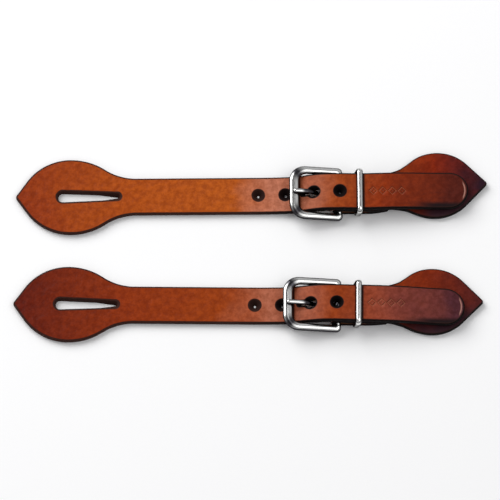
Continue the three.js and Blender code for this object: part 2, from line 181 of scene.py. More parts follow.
# ------------------------------------------------------------------ curves and outlines


def strap_place(name):
    """The matrix from a strap's own drawing, in millimetres, to the frame, in metres."""
    bar = Vector(JOINTS[f"{name}_buckle_tilt"]["pos_m"])
    along = Vector(JOINTS[f"{name}_strap_slide"]["axis"])
    across = Vector((0, 0, 1)).cross(along)
    turn = Matrix((along, across, (0, 0, 1))).transposed().to_4x4()
    return Matrix.Translation((bar.x, bar.y, 0)) @ turn @ Matrix.Scale(MM, 4)


def arc(x, y, radius, start, end, step=EDGE_STEP):
    """Points on a circle from angle start to angle end, in radians."""
    count = max(3, int(abs(end - start) * radius / step) + 1)
    angles = np.linspace(start, end, count)
    return np.column_stack([x + radius * np.cos(angles), y + radius * np.sin(angles)])


def bezier(a, b, c, d, count=24):
    """Points on a cubic curve from a to d."""
    t = np.linspace(0, 1, count)[:, None]
    a, b, c, d = (np.array(point, float) for point in (a, b, c, d))
    return a * (1 - t) ** 3 + 3 * b * t * (1 - t) ** 2 + 3 * c * t**2 * (1 - t) + d * t**3


def joined(*parts):
    """One polyline of several, without repeated points."""
    points = np.vstack(parts)
    keep = np.r_[True, np.linalg.norm(np.diff(points, axis=0), axis=1) > 0.05]
    return points[keep]


def subdivided(points, step=EDGE_STEP):
    """The same polyline with no segment longer than step."""
    result = [points[:1]]
    for a, b in zip(points[:-1], points[1:]):
        count = max(1, math.ceil(np.linalg.norm(b - a) / step))
        shares = np.linspace(0, 1, count + 1)[1:, None]
        result.append(a + (b - a) * shares)
    return np.vstack(result)


def refined(loop, step=EDGE_STEP):
    """The same closed loop with no segment longer than step."""
    return subdivided(np.vstack([loop, loop[:1]]), step)[:-1]


def circle(count):
    """The cosines and sines of evenly spaced angles, once round."""
    angles = np.linspace(0, 2 * math.pi, count, endpoint=False)
    return np.cos(angles), np.sin(angles)


def smooth_step(t):
    return t * t * (3 - 2 * t)


def leaf_edge(half_width, widest_at, point, nose, shoulder, neck):
    """The near edge (y < 0) of a leaf that points to -x from x = 0, from its point to its neck."""
    nose_y, shoulder_y, neck_y = half_width - nose, half_width - shoulder, HALF_WIDTH + neck
    reach = math.hypot(widest_at - point, nose_y)
    flank = math.atan2(nose_y, widest_at - point) + math.acos((point - nose) / reach)
    rise = neck_y - shoulder_y
    neck_x = widest_at + math.sqrt((shoulder + neck) ** 2 - rise**2)
    turn = math.atan2(rise, neck_x - widest_at)
    edge = joined(
        arc(point, 0, point, math.pi, flank, 0.3),
        arc(widest_at, nose_y, nose, flank, QUARTER),
        arc(widest_at, shoulder_y, shoulder, QUARTER, turn),
        arc(neck_x, neck_y, neck, turn + math.pi, 3 * QUARTER),
    )
    return edge * (1, -1)


def swung(points, degrees):
    """Moves what is right of SWING_X out of line, as the billet lies at a small angle."""
    sideways = np.maximum(points[:, 0] - SWING_X, 0) * math.tan(math.radians(degrees))
    return np.column_stack([points[:, 0], points[:, 1] + sideways])


def short_strap_offset(x, strap):
    """How far to one side the short strap lies at x: a curve, and then a small angle along its leaf."""
    t = np.clip((x - SWING_X) / (SHIFTED_X - SWING_X), 0, 1)
    beyond = np.maximum(x - SHIFTED_X, 0) * math.tan(math.radians(strap["leaf_swing"]))
    return smooth_step(t) * strap["leaf_shift"] + beyond


def round_hole(x, y, radius):
    """A loop with the leather on its left, so it runs clockwise."""
    cosine, sine = circle(36)
    return np.column_stack([x + radius * cosine, y - radius * sine])


def teardrop(point_x, way, wide_at, wide, narrow_at, narrow):
    """A teardrop buttonhole. way is +1 where the leaf points to -x and -1 where it points to +x."""
    flare = math.acos((wide - narrow) / (narrow_at - wide_at))
    wide_end = arc(wide_at, 0, wide, 2 * math.pi - flare, flare, 0.5)
    narrow_end = arc(narrow_at, 0, narrow, flare, -flare, 0.4)
    loop = refined(joined(wide_end, narrow_end), 1.0)
    loop = np.column_stack([point_x + way * loop[:, 0], loop[:, 1]])
    return loop if way > 0 else loop[::-1]


def straight_slit(low_x, high_x, radius):
    """A straight slot with round ends, clockwise like round_hole."""
    right = arc(high_x - radius, 0, radius, QUARTER, -QUARTER, 0.5)
    left = arc(low_x + radius, 0, radius, -QUARTER, -3 * QUARTER, 0.5)
    return refined(joined(right, left), 1.0)


def tongue_hole(shift):
    """The third hole, with the slit that the tongue has worn towards the rung. Fillets join the two."""
    fillet = 1.0
    fillet_y = STRETCH_RADIUS + fillet
    fillet_x = math.sqrt((HOLE_RADIUS + fillet) ** 2 - fillet_y**2)
    meet = math.atan2(fillet_y, fillet_x)
    loop = joined(
        arc(TONGUE_HOLE_X, 0, HOLE_RADIUS, math.pi - meet, meet - math.pi, 0.5),
        arc(TONGUE_HOLE_X - fillet_x, -fillet_y, fillet, meet, QUARTER, 0.3),
        arc(STRETCH_X + STRETCH_RADIUS, 0, STRETCH_RADIUS, -QUARTER, -3 * QUARTER, 0.4),
        arc(TONGUE_HOLE_X - fillet_x, fillet_y, fillet, -QUARTER, -meet, 0.3)[:-1],
    )
    return refined(loop) + (shift, 0)


# ------------------------------------------------------------------ how the leather lies, seen from the side


def long_bend(strap):
    """Maps a place along the long strap and a share of its thickness to x and z. Its underside leaves the
    surface, passes below the rung, climbs over the bar, and comes down through the keeper to the tip."""
    rung_x, rung_z = strap["rung_x"], strap["rung_z"]
    path = joined(
        [(LONG_POINT_X - 5, 0), (LEVEL_X, 0)],
        bezier((LEVEL_X, 0), (-42, 0), (rung_x - 8, 0), (rung_x, rung_z)),
        bezier((rung_x, rung_z), (rung_x + 6, rung_z + 0.9), (-12, CREST_Z), (-5, CREST_Z)),
        bezier((1, CREST_Z), (4, CREST_Z), (5, BILLET_Z), (9, BILLET_Z)),
        bezier((25, BILLET_Z), (38, BILLET_Z), (48, BILLET_TIP_Z), (62, BILLET_TIP_Z)),
        [(strap["billet_tip"] + 5, BILLET_TIP_Z)],
    )
    x = np.arange(path[0, 0], path[-1, 0], 0.25)
    low = smoothed(np.interp(x, path[:, 0], path[:, 1]), 9)
    slope = np.arctan(np.gradient(low, x))

    def bend(along, share):
        tilt = np.interp(along, x, slope)
        middle = np.interp(along, x, low) + LEATHER / 2 / np.cos(tilt)
        lift = (share - 0.5) * LEATHER
        return along - np.sin(tilt) * lift, middle + np.cos(tilt) * lift

    return bend


def smoothed(values, width):
    """A running mean that keeps the ends."""
    padded = np.r_[np.full(width, values[0]), values, np.full(width, values[-1])]
    kernel = np.ones(width) / width
    return np.convolve(padded, kernel, "same")[width:-width]


class FoldedStrip:
    """The short strap's middle line: its tail below, the fold round the bar, and back over to its leaf."""

    def __init__(self, point_x):
        tail_x = np.linspace(TAIL_END_X, 0, 40)
        tail_thick = np.interp(tail_x, [18, TAIL_END_X], [FOLD_LEATHER, TAIL_EDGE])
        fold_angle = np.linspace(3 * QUARTER, QUARTER, 30)[1:-1]
        top_x = np.linspace(0, point_x + 5, 240)
        stations, heights, thicknesses = zip(*SHORT_RUN)
        fold_z = BAR_Z + FOLD_RADIUS * np.sin(fold_angle)
        fold_thick = np.full(len(fold_angle), FOLD_LEATHER)
        self.x = np.r_[tail_x, FOLD_RADIUS * np.cos(fold_angle), top_x]
        self.z = np.r_[tail_thick / 2, fold_z, ease(top_x, stations, heights)]
        self.thick = np.r_[tail_thick, fold_thick, ease(top_x, stations, thicknesses)]
        self.along = np.r_[0, np.cumsum(np.hypot(np.diff(self.x), np.diff(self.z)))]
        self.top_start = len(tail_x) + len(fold_angle)
        self.angle = smoothed(np.unwrap(np.arctan2(np.gradient(self.z), np.gradient(self.x))), 3)

    def at(self, x):
        """The place along the strip of a place on its upper run."""
        return np.interp(x, self.x[self.top_start:], self.along[self.top_start:])

    def place(self, along):
        """The x of a place along the strip."""
        return np.interp(along, self.along, self.x)

    def bend(self, along, share):
        angle = np.interp(along, self.along, self.angle)
        lift = (share - 0.5) * np.interp(along, self.along, self.thick)
        x = self.place(along) - np.sin(angle) * lift
        return x, np.interp(along, self.along, self.z) + np.cos(angle) * lift


def ease(x, stations, values):
    """Values at the stations, level at each one, with smooth steps between."""
    result = np.full(len(x), float(values[-1]))
    for a, b, low, high in zip(stations[:-1], stations[1:], values[:-1], values[1:]):
        between = (x >= a) & (x < b)
        result[between] = low + (high - low) * smooth_step((x[between] - a) / (b - a))
    return result


# ------------------------------------------------------------------ meshes


def add_object(name, data):
    """A new object in the scene."""
    made = bpy.data.objects.new(name, data)
    bpy.context.scene.collection.objects.link(made)
    return made


def make_piece(name, points, faces, place, material, flat_faces=()):
    """A shown piece from points in a strap's drawing."""
    mesh = bpy.data.meshes.new(name)
    mesh.from_pydata([place @ Vector(point) for point in points], [], faces)
    turn_outward(mesh)
    mesh.materials.append(material)
    for polygon in mesh.polygons:
        polygon.use_smooth = polygon.index not in flat_faces
    mesh.validate()
    return add_object(name, mesh)


def stand_in(piece, body, node):
    """Puts a rigid piece on its body, in place of its CAD node."""
    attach(piece, body)
    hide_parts(node)


def bend_ends(place, flex, z):
    """Where a bend of the leather starts and ends, in the frame."""
    return [place @ Vector((x, 0, z)) for x in flex]


def turn_outward(mesh):
    """Makes every face look out of its own closed shell."""
    shell = bmesh.new()
    shell.from_mesh(mesh)
    bmesh.ops.recalc_face_normals(shell, faces=shell.faces[:])
    shell.to_mesh(mesh)
    shell.free()


def left_of(points, closed=False):
    """Unit vectors to the left of a polyline or a closed loop, at each of its points."""
    if closed:
        along = np.roll(points, -1, axis=0) - np.roll(points, 1, axis=0)
    else:
        along = np.gradient(points, axis=0)
    along /= np.linalg.norm(along, axis=1)[:, None]
    return np.column_stack([-along[:, 1], along[:, 0]])


def inset(points, closed, distance):
    """A loop or polyline moved to its left, into the leather, by one distance or one for each point."""
    return points + np.reshape(distance, (-1, 1)) * left_of(points, closed)


def rounded_edge(radius, steps=4, extra=0.0):
    """(inset, share of the thickness, burnish) of each ring, from the inner ring below to the one above. The
    burnish fades over extra, beyond the rounding."""
    below = []
    for angle in np.linspace(0, QUARTER, steps + 1):
        distance, share = radius * (1 - math.sin(angle)), radius * (1 - math.cos(angle)) / LEATHER
        below.append((distance, share, min(1.0, max(0.0, (radius + extra - distance) / radius))))
    rings = below + [(distance, 1 - share, dark) for distance, share, dark in reversed(below)]
    if extra:
        rings = [(radius + extra, 0.0, 0.0), *rings, (radius + extra, 1.0, 0.0)]
    return rings


def leaning(rings, amount):
    """Rings of a wall that leans out of the leather towards its foot, by one amount or one for each point."""
    return [(distance - amount * (1 - share), share, dark) for distance, share, dark in rings]


def inside(points, loop):
    """Whether each point is inside a loop."""
    x, y = points[:, :1], points[:, 1:2]
    x1, y1 = loop[:, 0], loop[:, 1]
    x2, y2 = np.roll(x1, -1), np.roll(y1, -1)
    spans = (y1 > y) != (y2 > y)
    rise = np.where(y2 == y1, 1.0, y2 - y1)
    crossing = x < (x2 - x1) * (y - y1) / rise + x1
    return (spans & crossing).sum(axis=1) % 2 == 1


def on_sheet(points, loops):
    """Whether each point is inside the first loop and outside the others."""
    keep = inside(points, loops[0])
    for hole in loops[1:]:
        keep &= ~inside(points, hole)
    return keep


def inner_points(loops, spacing):
    """Even points inside the first loop, less the others, a little away from all of them."""
    low, high = loops[0].min(axis=0), loops[0].max(axis=0)
    rows = []
    for i, y in enumerate(np.arange(low[1], high[1], spacing * ROW_PITCH)):
        x = np.arange(low[0] + (i % 2) * spacing / 2, high[0], spacing)
        rows.append(np.column_stack([x, np.full(len(x), y)]))
    grid = np.vstack(rows)
    grid = grid[on_sheet(grid, loops)]
    nearest = np.full(len(grid), np.inf)
    fixed = np.vstack(loops)
    for part in np.array_split(fixed, max(1, len(fixed) // 64)):
        gaps = np.linalg.norm(grid[:, None] - part[None], axis=2).min(axis=1)
        nearest = np.minimum(nearest, gaps)
    return grid[nearest > EDGE_CLEARANCE * spacing]


def triangulated(loops, spacing):
    """Fills the first loop, less the others. Returns the points inside, and triangles of indices into
    the loops' points followed by those."""
    grid = inner_points(loops, spacing)
    edges, start = [], 0
    for loop in loops:
        count = len(loop)
        edges += [(start + i, start + (i + 1) % count) for i in range(count)]
        start += count
    points = np.vstack([*loops, grid])
    vectors = [Vector(point) for point in points]
    _, _, faces, origins, _, _ = delaunay_2d_cdt(vectors, edges, [], 1, 1e-5)
    if not all(origins):
        raise ValueError("the sheet's loops cross each other")
    triangles = np.array([[origins[i][0] for i in face] for face in faces])
    return grid, triangles[on_sheet(points[triangles].mean(axis=1), loops)]


def band(first, second, closed=True):
    """The faces between two rows of numbered points."""
    pairs = list(zip(first, second))
    following = pairs[1:] + pairs[:1] if closed else pairs[1:]
    return [(a, c, d, b) for (a, b), (c, d) in zip(pairs, following)]


class Sheet:
    """A leather sheet while it is being built: points in its plan, each with a share of the thickness and
    how burnished it is, and faces of their numbers."""

    def __init__(self):
        self.plan = np.empty((0, 2))
        self.shares, self.darks = np.empty(0), np.empty(0)
        self.faces = []

    def add(self, points, share, dark=0.0):
        """Adds points, and returns their numbers."""
        start, count = len(self.plan), len(points)
        self.plan = np.vstack([self.plan, points])
        self.shares = np.r_[self.shares, np.full(count, share)]
        self.darks = np.r_[self.darks, np.full(count, dark)]
        return list(range(start, start + count))

    def add_wall(self, loop, rings, closed):
        """Adds the wall along a loop or polyline, and returns the numbers of each ring of points."""
        wall = [self.add(inset(loop, closed, distance), share, dark) for distance, share, dark in rings]
        for lower, upper in zip(wall[:-1], wall[1:]):
            self.faces += band(lower, upper, closed)
        return wall


def leather_sheet(name, edge, edge_rings, holes, bend, place, material, cut=False, pressing=None):
    """Leather cut to an edge that runs counter-clockwise, with a bend. holes are (loop, rings) pairs.
    With cut, the edge is open and the sheet ends in a flat cut between its two ends. pressing(points) is how
    deep the top is tooled, in millimetres."""
    sheet = Sheet()
    walls = [sheet.add_wall(edge, edge_rings, not cut)]
    walls += [sheet.add_wall(loop, rings, True) for loop, rings in holes]
    low, top = [wall[0] for wall in walls], [wall[-1] for wall in walls]
    cap = []
    if cut:
        across = subdivided(sheet.plan[[top[0][-1], top[0][0]]], GRID)[1:-1]
        low_line, top_line = sheet.add(across, 0.0), sheet.add(across, 1.0)
        low[0], top[0] = low[0] + low_line, top[0] + top_line
        cap = [ring[-1] for ring in walls[0]] + top_line
        cap += [ring[0] for ring in reversed(walls[0])] + low_line[::-1]
    grid, triangles = triangulated([sheet.plan[ring] for ring in top], TOOLED_GRID if pressing else GRID)
    for share, rings, order in ((0.0, low, -1), (1.0, top, 1)):
        numbers = np.array([*(i for ring in rings for i in ring), *sheet.add(grid, share)])
        sheet.faces += [tuple(face) for face in numbers[triangles][:, ::order].tolist()]
    if pressing:
        sheet.shares -= np.where(sheet.shares == 1, pressing(sheet.plan) / LEATHER, 0)
    x, z = bend(sheet.plan[:, 0], sheet.shares)
    points = np.column_stack([x, sheet.plan[:, 1], z])
    caps = [tuple(cap)] if cap else []
    flat = range(len(sheet.faces), len(sheet.faces) + len(caps))
    piece = make_piece(name, points, sheet.faces + caps, place, material, flat)
    store(piece.data, "plan", "FLOAT_VECTOR", np.column_stack([sheet.plan, sheet.shares * LEATHER]))
    store(piece.data, "dark", "FLOAT", sheet.darks)
    if cap:
        mark_sharp(piece.data, cap)
    return piece


def store(mesh, name, kind, values):
    """Keeps a value of each point, for the material."""
    attribute = mesh.attributes.new(name, kind, "POINT")
    field = "vector" if kind == "FLOAT_VECTOR" else "value"
    attribute.data.foreach_set(field, values.astype(np.float32).ravel())


def mark_sharp(mesh, loop):
    """Keeps the shading of a cut end apart from the faces beside it."""
    pairs = {frozenset((a, b)) for a, b in zip(loop, [*loop[1:], loop[0]])}
    for mesh_edge in mesh.edges:
        mesh_edge.use_edge_sharp = frozenset(mesh_edge.vertices) in pairs


def tube(rings, closed=False):
    """Points and faces of a tube through rings of points, with a face over each end if it is open."""
    rings = np.asarray(rings, float)
    count, size, _ = rings.shape
    rows = np.arange(count * size).reshape(count, size).tolist()
    faces = []
    for row, following in zip(rows, rows[1:] + rows[:1] if closed else rows[1:]):
        faces += band(row, following)
    if not closed:
        faces += [tuple(reversed(rows[0])), tuple(rows[-1])]
    return rings.reshape(-1, 3), faces


def lathed(centre, profile, closed):
    """A shape lathed about z from (radius, height) pairs. closed means that the profile closes on itself."""
    cosine, sine = circle(40)
    rings = [np.column_stack([r * cosine, r * sine, np.full(len(cosine), h)]) for r, h in profile]
    points, faces = tube(rings, closed)
    return points + np.array(centre), faces


def boxed(values, power):
    """Cosines or sines of a section that is drawn out towards a box, by a power below 1."""
    return np.sign(values) * np.abs(values) ** power


# ------------------------------------------------------------------ the pieces of a strap


def end_middle(strap):
    """The middle of the billet's rounded end."""
    return swung(np.array([(strap["billet_tip"] - BILLET_TIP_LENGTH, 0)]), strap["billet_swing"])[0]


def tooling_depth(tip):
    """Gives the depth of the billet's tooling: a row of diamonds, and a crease inside the rounded end."""

    def depth(points):
        steps = (points[:, 0] - STAMP["start"]) / STAMP["pitch"]
        reach = np.abs(steps - np.floor(steps) - 0.5) * STAMP["pitch"] + np.abs(points[:, 1])
        outline = np.clip(1 - np.abs(reach - STAMP["size"]) / STAMP["line"], 0, 1)
        seed = np.clip((STAMP["line"] - reach) / STAMP["line"], 0, 1)
        row = np.where((steps >= 0) & (steps < STAMP["count"]), np.maximum(outline, seed), 0)
        off_line = np.abs(np.linalg.norm(points - tip, axis=1) - CREASE["radius"])
        fading = np.interp(points[:, 0] - tip[0], (CREASE["start"], CREASE["full"]), (0, 1))
        return TOOLING_DEPTH * np.maximum(row, np.clip(1 - off_line / CREASE["line"], 0, 1) * fading)

    return depth


def long_edge():
    """The long strap's outline, from the seam on its far side round the leaf to the seam on its near side."""
    near = leaf_edge(**LONG_LEAF) + (LONG_POINT_X, 0)
    near = joined(near, [(SEAM_X, -HALF_WIDTH)])
    return subdivided(joined(near[::-1] * (1, -1), near[1:]))


def long_openings(strap):
    """The long strap's buttonhole and holes, each with the rings of its wall."""
    shift = strap["hole_shift"]
    rim = rounded_edge(*HOLE_EDGE)
    slot = teardrop(LONG_POINT_X, 1, **LONG_SLOT)
    to_end = np.interp(slot[:, 0] - LONG_POINT_X, (44, LONG_SLOT["narrow_at"]), (0, 1))
    slot_rings = leaning(rounded_edge(*SLOT_EDGE), SLOT_NARROWING + SLOT_END_NARROWING * to_end)
    stretched = tongue_hole(shift)
    beside_tongue = TONGUE_HOLE_NARROWING * np.abs(stretched[:, 1] / HOLE_RADIUS) ** 3
    below_tongue = np.interp(stretched[:, 0] - shift, (-16.4, -15.4), (STRETCH_NARROWING, 0))
    openings = [(slot, slot_rings), (stretched, leaning(rim, np.maximum(beside_tongue, below_tongue)))]
    for x, amount in zip(HOLE_X, (HOLE_NARROWING, HOLE_NARROWING, strap["last_hole_narrowing"])):
        openings.append((round_hole(x + shift, 0, HOLE_RADIUS), leaning(rim, amount)))
    return openings


def long_strap(strap, place, material):
    """The long strap from its leaf to the keeper, with the buttonhole and four holes."""
    name, edge = strap["name"], long_edge()
    flare = BEND_FLARE * np.interp(edge[:, 0], (-18, -13, -5, -3.4), (0, 1, 1, 0))
    rings, openings = leaning(rounded_edge(*LONG_EDGE), flare), long_openings(strap)
    piece = leather_sheet(
        f"{name}_long_strap_leather", edge, rings, openings, long_bend(strap), place, material, cut=True)
    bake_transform(piece)
    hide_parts(f"{name}_long_leaf", f"{name}_long_strap")


def billet(strap, place, material):
    """The end of the long strap, from the keeper to its rounded tip."""
    name, angles = strap["name"], np.linspace(-QUARTER, QUARTER, 40)
    tip_x = strap["billet_tip"] - BILLET_TIP_LENGTH * (1 - np.cos(angles))
    tip = np.column_stack([tip_x, HALF_WIDTH * np.sin(angles)])
    edge = joined([(SEAM_X, -HALF_WIDTH)], tip, [(SEAM_X, HALF_WIDTH)])
    edge = swung(subdivided(edge), strap["billet_swing"])
    piece = leather_sheet(
        f"{name}_billet_leather", edge, rounded_edge(*LONG_EDGE), [], long_bend(strap), place, material,
        cut=True, pressing=tooling_depth(end_middle(strap)))
    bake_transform(piece)
    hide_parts(f"{name}_billet_end")


def short_strap(strap, place, material):
    """The short strap: skived tail, fold round the bar, and leaf."""
    name, point_x = strap["name"], strap["short_point"]
    strip = FoldedStrip(point_x)
    near = leaf_edge(**SHORT_LEAF) * (-1, 1) + (point_x, 0)
    upper = subdivided(joined([(SWING_X, -HALF_WIDTH)], near[::-1]))
    lower = subdivided(joined(near * (1, -1), [(SWING_X, HALF_WIDTH)]))
    slot = teardrop(point_x, -1, **SHORT_SLOT)
    for outline in (upper, lower, slot):
        outline[:, 0] = strip.at(outline[:, 0])
    start = joined(
        [(0, HALF_WIDTH - TAIL_CORNER), (0, TAIL_CORNER - HALF_WIDTH), (TAIL_CORNER, -HALF_WIDTH)])
    edge = refined(joined(start, upper, lower, [(TAIL_CORNER, HALF_WIDTH)]))
    for outline in (edge, slot):
        outline[:, 1] += short_strap_offset(strip.place(outline[:, 0]), strap)
    reach = TONGUE_SLIT["reach"]
    slit = straight_slit(TAIL_END_X - reach, strip.at(reach), TONGUE_SLIT["radius"])
    holes = [(slot, rounded_edge(*HIDDEN_EDGE)), (slit, rounded_edge(*HIDDEN_EDGE))]
    for y in (-RIVET["y"], RIVET["y"]):
        holes.append((round_hole(TAIL_END_X - RIVET["x"], y, SEAT_RADIUS), rounded_edge(*SEAT_EDGE)))
    piece = leather_sheet(
        f"{name}_short_strap_leather", edge, rounded_edge(*SHORT_EDGE), holes, strip.bend, place, material)
    start, end = bend_ends(place, SHORT_FLEX, LEATHER / 2)
    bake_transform(piece)
    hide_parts(f"{name}_short_strap", f"{name}_short_leaf")


def frame_outline(heel, overlap, hook, half, corner, front):
    """One outline of the frame, from one hook round the rung to the other. heel, half and front are where it
    passes the bar, the arm and the rung, hook and corner its radii, and overlap its length along the bar."""
    quarter = [(math.cos(angle), math.sin(angle)) for angle in np.linspace(0, QUARTER, 14)]
    points = [(heel, HEEL_OPENING), (heel, HEEL_OPENING + overlap)]
    points += [(heel - hook + hook * cosine, half - hook + hook * sine) for cosine, sine in quarter]
    points += [(x, half) for x in np.linspace(heel - hook, front + corner, 16)[1:-1]]
    points += [(front + corner - corner * sine, half - corner + corner * cosine) for cosine, sine in quarter]
    points += [(front, y) for y in np.linspace(half - corner, 0, 8)[1:]]
    points = np.array(points)
    return np.vstack([points, points[-2::-1] * (1, -1)])


def buckle_frame(strap, place, material):
    """A frame with a domed section that is wider at the rung, and its bar."""
    name, front = strap["name"], strap["rung_x"] - RUNG_OVERHANG
    half, arm, corner = FRAME["half_width"], FRAME["arm"], FRAME["corner"]
    outer = frame_outline(FRAME["heel"], BAR_REACH, FRAME["heel_corner"], half, corner, front)
    inner = frame_outline(
        -BAR_RADIUS, 0.6, FRAME["inner_heel_corner"], half - arm, corner - arm, front + FRAME["rung"])
    cosine, sine = circle(24)
    power = np.where(sine > 0, 0.92, 0.55)  # domed above and squarer below
    width, height = boxed(cosine, power), boxed(sine, power) * FRAME_HALF_THICKNESS
    rings = []
    for middle, reach in zip((outer + inner) / 2, (outer - inner) / 2):
        rings.append(np.column_stack([middle[0] + reach[0] * width, middle[1] + reach[1] * width, height]))
    bar = []
    for y in np.linspace(-HEEL_OPENING - BAR_REACH, HEEL_OPENING + BAR_REACH, 12):
        bar.append(np.column_stack([BAR_RADIUS * cosine, np.full(24, y), BAR_RADIUS * sine]))
    (points, faces), (bar_points, bar_faces) = tube(rings), tube(bar)
    faces += [tuple(i + len(points) for i in face) for face in bar_faces]
    tilted = place @ buckle_tilt(strap)
    piece = make_piece(f"{name}_frame_metal", np.vstack([points, bar_points]), faces, tilted, material)
    soften(piece)
    paint_metal_shade(piece, tilted, frame_corner_shade(front))
    stand_in(piece, f"{name}_buckle", f"{name}_buckle_frame")


def buckle_tilt(strap):
    """The matrix from the frame's own plane, about its bar, to the strap's drawing."""
    turn = Matrix.Rotation(math.radians(strap["frame_tilt"]), 4, "Y")
    return Matrix.Translation((0, 0, BAR_Z)) @ turn


def paint_metal_shade(piece, place=None, extra_shade=None, band=False):
    """Stores the painted shade of each point of the metal in its side attribute: its sides (of a band, its
    narrow edges) are painted dark for shade and dark reflections, and the function given adds more, with the
    points in the piece's own drawing."""
    mesh = piece.data
    normals = np.zeros(len(mesh.vertices) * 3, np.float32)
    mesh.vertex_normals.foreach_get("vector", normals)
    along, _, up = normals.reshape(-1, 3).T
    # Painted shade: the sides of the metal, and a band's narrow edges, are darkened for shade and dark
    # reflections.
    painted_shade = np.clip((np.abs(along) - 0.5) / 0.25, 0, 1) if band else np.clip((0.86 - up) / 0.22, 0, 1)
    if extra_shade:
        back = place.inverted()
        painted_shade = np.maximum(painted_shade, extra_shade(np.array([back @ vertex.co for vertex in mesh.vertices])))
    store(mesh, "side", "FLOAT", painted_shade)


def frame_corner_shade(front):
    """Gives the painted shade of the frame's two corners beside the rung, for the dark reflections and shade
    there.
    """

    def extra_shade(points):
        from_rung, from_arm = points[:, 0] - front, FRAME["half_width"] - np.abs(points[:, 1])
        diagonal = np.clip(1.25 - np.abs(from_rung - from_arm) / 5.5, 0, 1)
        return diagonal * np.clip((10.5 - np.maximum(from_rung, from_arm)) / 4, 0, 1)

    return extra_shade


def tongue_shank_shade(unshaded_to):
    """Gives the painted shade of the tongue, which is left bright only up to a place beside its tip."""
    return lambda points: np.clip((points[:, 0] - unshaded_to) / 1.5, 0, 1)


def soften(piece):
    """One subdivision, applied, for metal whose highlights have to run smoothly."""
    modifier = piece.modifiers.new("smooth", "SUBSURF")
    modifier.levels = modifier.render_levels = 1
    depsgraph = bpy.context.evaluated_depsgraph_get()
    mesh = bpy.data.meshes.new_from_object(piece.evaluated_get(depsgraph))
    piece.modifiers.clear()
    piece.data = mesh
    for polygon in mesh.polygons:
        polygon.use_smooth = True


def tongue_path(strap):
    """The tongue's middle line in the frame's plane, from its tip to the end of its eye."""
    over_rung = FRAME_HALF_THICKNESS + GAP + TONGUE["half_height"]
    tip_x, shift = strap["rung_x"] - TONGUE["tip_inset"], strap["hole_shift"]
    knots = [
        (tip_x - 0.9, over_rung - 0.1), (tip_x + 1.2, over_rung), ((2 * tip_x - 16.6) / 3, over_rung + 0.05),
        (shift - 17.6, over_rung - 0.1), (shift - 14, 1.2), (shift - 11.2, -0.6), (-8, -1.2), (-5, -1.55),
        (-2.6, -2.15),
    ]
    eye = np.radians(np.arange(TONGUE["eye_start"], TONGUE["eye_start"] + TONGUE["eye_turn"], 14))
    eye = TONGUE["eye_radius"] * np.column_stack([np.cos(eye), np.sin(eye)])
    return flowing(np.vstack([knots, eye]), 6)


def buckle_tongue(strap, place, material):
    """The tongue: an eye bent round the bar, a shank that dips under the strap and comes up through the
    hole, and a blunt tip on the rung."""
    name = strap["name"]
    path = tongue_path(strap)
    reach = np.clip((path[:, 0] - path[0, 0]) / TONGUE["tip_rounding"], 0, 1)
    tip = np.sqrt(np.clip(1 - (1 - reach) ** 2, 0.02, 1))
    travelled = np.r_[0, np.cumsum(np.linalg.norm(np.diff(path, axis=0), axis=1))]
    past = travelled - travelled[-1] + TONGUE["widening_at"]
    to_eye = np.clip(past / TONGUE["widening_length"], 0, 1)
    half_width = (TONGUE["half_width"] + TONGUE["widening"] * to_eye) * tip
    half_height = (TONGUE["half_height"] - TONGUE["thinning"] * to_eye) * tip
    across, through = (boxed(values, 0.85) for values in circle(16))
    rings = []
    for (x, z), (normal_x, normal_z), wide, high in zip(path, left_of(path), half_width, half_height):
        lift = high * through
        rings.append(np.column_stack([x + normal_x * lift, wide * across, z + normal_z * lift]))
    points, faces = tube(rings)
    tilted = place @ buckle_tilt(strap)
    piece = make_piece(f"{name}_tongue_metal", points, faces, tilted, material)
    paint_metal_shade(piece, tilted, tongue_shank_shade(path[0, 0] + strap["tongue_unshaded"]))
    stand_in(piece, f"{name}_tongue", f"{name}_buckle_tongue")


def flowing(knots, count):
    """A Catmull-Rom curve through the knots."""
    knots = np.vstack([2 * knots[0] - knots[1], knots, 2 * knots[-1] - knots[-2]])
    t = np.linspace(0, 1, count, endpoint=False)[:, None]
    parts = []
    for a, b, c, d in zip(knots[:-3], knots[1:-2], knots[2:-1], knots[3:]):
        parts.append(0.5 * (
            2 * b + (c - a) * t + (2 * a - 5 * b + 4 * c - d) * t**2 + (3 * b - a - 3 * c + d) * t**3))
    return np.vstack([*parts, knots[-2:-1]])


def keeper_section():
    """(depth, x) round the band's section: flat inside, slightly domed outside."""
    wall, half = KEEPER["wall"], KEEPER["band"] / 2
    side = [(0, 0.75 * half), (0.3, half), (wall - 0.6, half), (wall - 0.18, 0.7 * half), (wall, 0.25 * half)]
    return side + [(depth, -x) for depth, x in reversed(side)]


def keeper(strap, place, material):
    """The metal loop round the two layers, in four round corners joined by straight runs."""
    name, wall, corner = strap["name"], KEEPER["wall"], KEEPER["corner"]
    middle_y, middle_z = KEEPER["half_width"] - corner, KEEPER["half_height"] - corner
    depth, x = np.array(keeper_section()).T
    rings = []
    for quarter, (side_y, side_z) in enumerate(((1, 1), (-1, 1), (-1, -1), (1, -1))):
        centre = np.array((0, side_y * middle_y, side_z * middle_z))
        for angle in quarter * QUARTER + np.linspace(0, QUARTER, 9):
            out = corner - wall + depth
            rings.append(centre + np.column_stack([x, out * math.cos(angle), out * math.sin(angle)]))
    points, faces = tube(spread(rings), closed=True)
    turn = Matrix.Translation((KEEPER["x"], 0, KEEPER["z"])) @ Matrix.Rotation(KEEPER_LEAN, 4, "Y")
    piece = make_piece(f"{name}_keeper_metal", points, faces, place @ turn, material)
    soften(piece)
    paint_metal_shade(piece, band=True)
    stand_in(piece, f"{name}_keeper", f"{name}_keeper")


def spread(rings, longest=2.0):
    """The same closed run of rings, with more between those that are far apart."""
    rings = np.array(rings, float)
    result = []
    for a, b in zip(rings, np.roll(rings, -1, axis=0)):
        count = max(1, math.ceil(np.linalg.norm(b[0] - a[0]) / longest))
        result += [a + (b - a) * i / count for i in range(count)]
    return result


